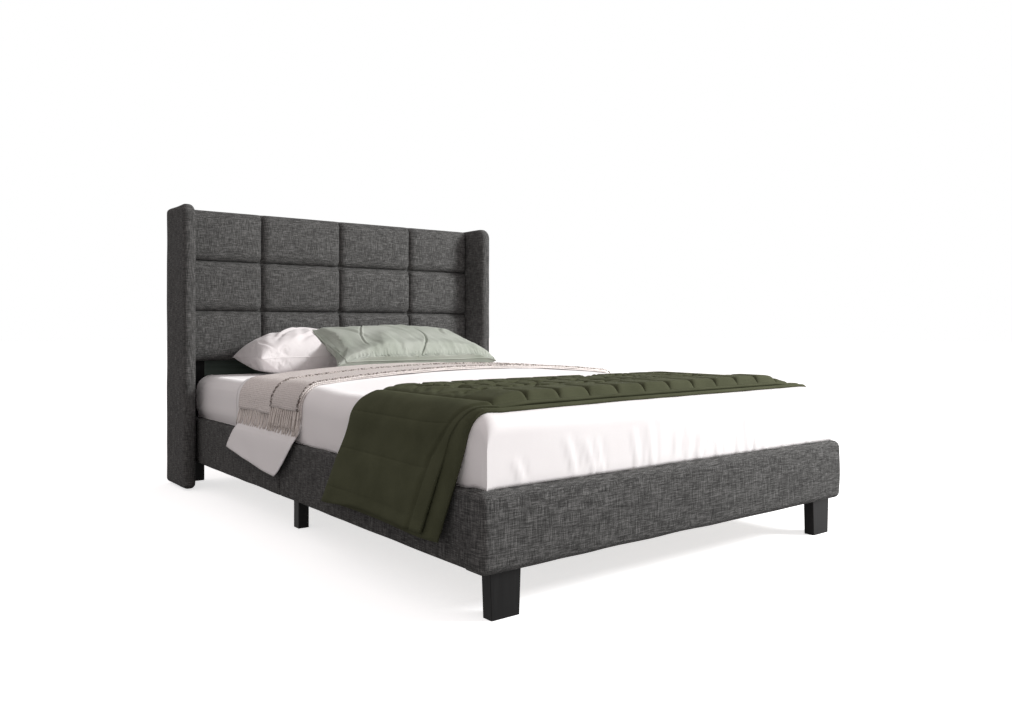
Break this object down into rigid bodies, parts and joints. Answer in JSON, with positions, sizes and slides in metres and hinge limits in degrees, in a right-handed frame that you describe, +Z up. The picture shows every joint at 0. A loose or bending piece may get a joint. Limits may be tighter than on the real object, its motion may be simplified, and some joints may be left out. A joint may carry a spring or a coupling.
{
  "type": "wingback bed",
  "caption": "Upholstered wingback bed with a square-tufted headboard, padded rails, tapered black feet and a slatted deck, made up with mattress, coverlet, throws and pillows.",
  "frame": {"origin": "on the floor, in the middle of the bed's width and length", "axes": "+Z up, +Y towards the headboard, +X to the right as seen from the foot end looking at the headboard"},
  "size_m": [1.563, 2.0854, 1.154],
  "materials": {
    "upholstery": "charcoal linen-look weave with lighter slubs, matt",
    "dust_cloth": "black non-woven cloth, matt",
    "board": "bare particle board",
    "slat_wood": "bare planed pine, matt",
    "strap": "black woven webbing",
    "back_board": "very dark green-black stain, satin",
    "black_wood": "black satin paint",
    "bracket_steel": "black powder coat, matt",
    "bolt_steel": "zinc plated",
    "mattress_cloth": "white knitted ticking",
    "white_cotton": "smooth white cotton sateen",
    "olive_quilt": "olive green cotton velvet, quilted",
    "cream_knit": "cream beige cable knit with tassels",
    "sage_linen": "sage green linen with lighter threads"
  },
  "bodies": {
    "frame": {"headboard_core": "board", "headboard_pad": "upholstery", "batten_upper": "slat_wood", "batten_lower": "slat_wood", "lower_back_board": "back_board", "back_cloth": "dust_cloth", "post_left": "black_wood", "post_right": "black_wood", "wing_core_left": "board", "wing_core_right": "board", "wing_cover_left": "upholstery", "wing_cover_right": "upholstery", "foot_rail_core": "board", "foot_rail_cover": "upholstery", "foot_leg_left": "black_wood", "foot_leg_right": "black_wood", "mid_leg_left": "black_wood", "mid_leg_centre": "black_wood", "mid_leg_right": "black_wood", "centre_beam": "slat_wood", "cross_beam": "slat_wood", "slat_straps": "strap", "corner_brackets": "bracket_steel", "splice_plates": "bracket_steel", "beam_hangers": "bracket_steel", "frame_bolts": "bolt_steel", "wing_bolts": "bolt_steel", "leg_studs": "bolt_steel", "side_rail_core_front_left": "board", "side_rail_cover_front_left": "upholstery", "ledger_front_left": "slat_wood", "side_rail_core_front_right": "board", "side_rail_cover_front_right": "upholstery", "ledger_front_right": "slat_wood", "side_rail_core_rear_left": "board", "side_rail_cover_rear_left": "upholstery", "ledger_rear_left": "slat_wood", "side_rail_core_rear_right": "board", "side_rail_cover_rear_right": "upholstery", "ledger_rear_right": "slat_wood", "slat_01": "slat_wood", "slat_02": "slat_wood", "slat_03": "slat_wood", "slat_04": "slat_wood", "slat_05": "slat_wood", "slat_06": "slat_wood", "slat_07": "slat_wood", "slat_08": "slat_wood", "slat_09": "slat_wood", "slat_10": "slat_wood", "slat_11": "slat_wood", "slat_12": "slat_wood"},
    "mattress": {"mattress": "mattress_cloth", "fitted_sheet": "white_cotton"},
    "coverlet": {"coverlet": "white_cotton"},
    "quilt_throw": {"quilt_throw": "olive_quilt"},
    "knit_throw": {"knit_throw": "cream_knit"},
    "pillow_right": {"pillow_right": "white_cotton"},
    "pillow_left": {"pillow_left": "white_cotton"},
    "accent_pillow": {"accent_pillow": "sage_linen"}
  },
  "joints": [
    {"name": "mattress_lift", "type": "slide", "parent": "frame", "child": "mattress", "axis": [0, 0, 1], "range_m": [0, 0.3]},
    {"name": "coverlet_lift", "type": "slide", "parent": "mattress", "child": "coverlet", "axis": [0, 0, 1], "range_m": [0, 0.25]},
    {"name": "quilt_lift", "type": "slide", "parent": "coverlet", "child": "quilt_throw", "axis": [0, 0, 1], "range_m": [0, 0.35]},
    {"name": "knit_lift", "type": "slide", "parent": "coverlet", "child": "knit_throw", "axis": [0, 0, 1], "range_m": [0, 0.25]},
    {"name": "pillow_right_lift", "type": "slide", "parent": "coverlet", "child": "pillow_right", "axis": [0, 0, 1], "range_m": [0, 0.25]},
    {"name": "pillow_left_lift", "type": "slide", "parent": "pillow_right", "child": "pillow_left", "axis": [0, 0, 1], "range_m": [0, 0.25]},
    {"name": "accent_lift", "type": "slide", "parent": "pillow_left", "child": "accent_pillow", "axis": [0, 0, 1], "range_m": [0, 0.25]}
  ]
}
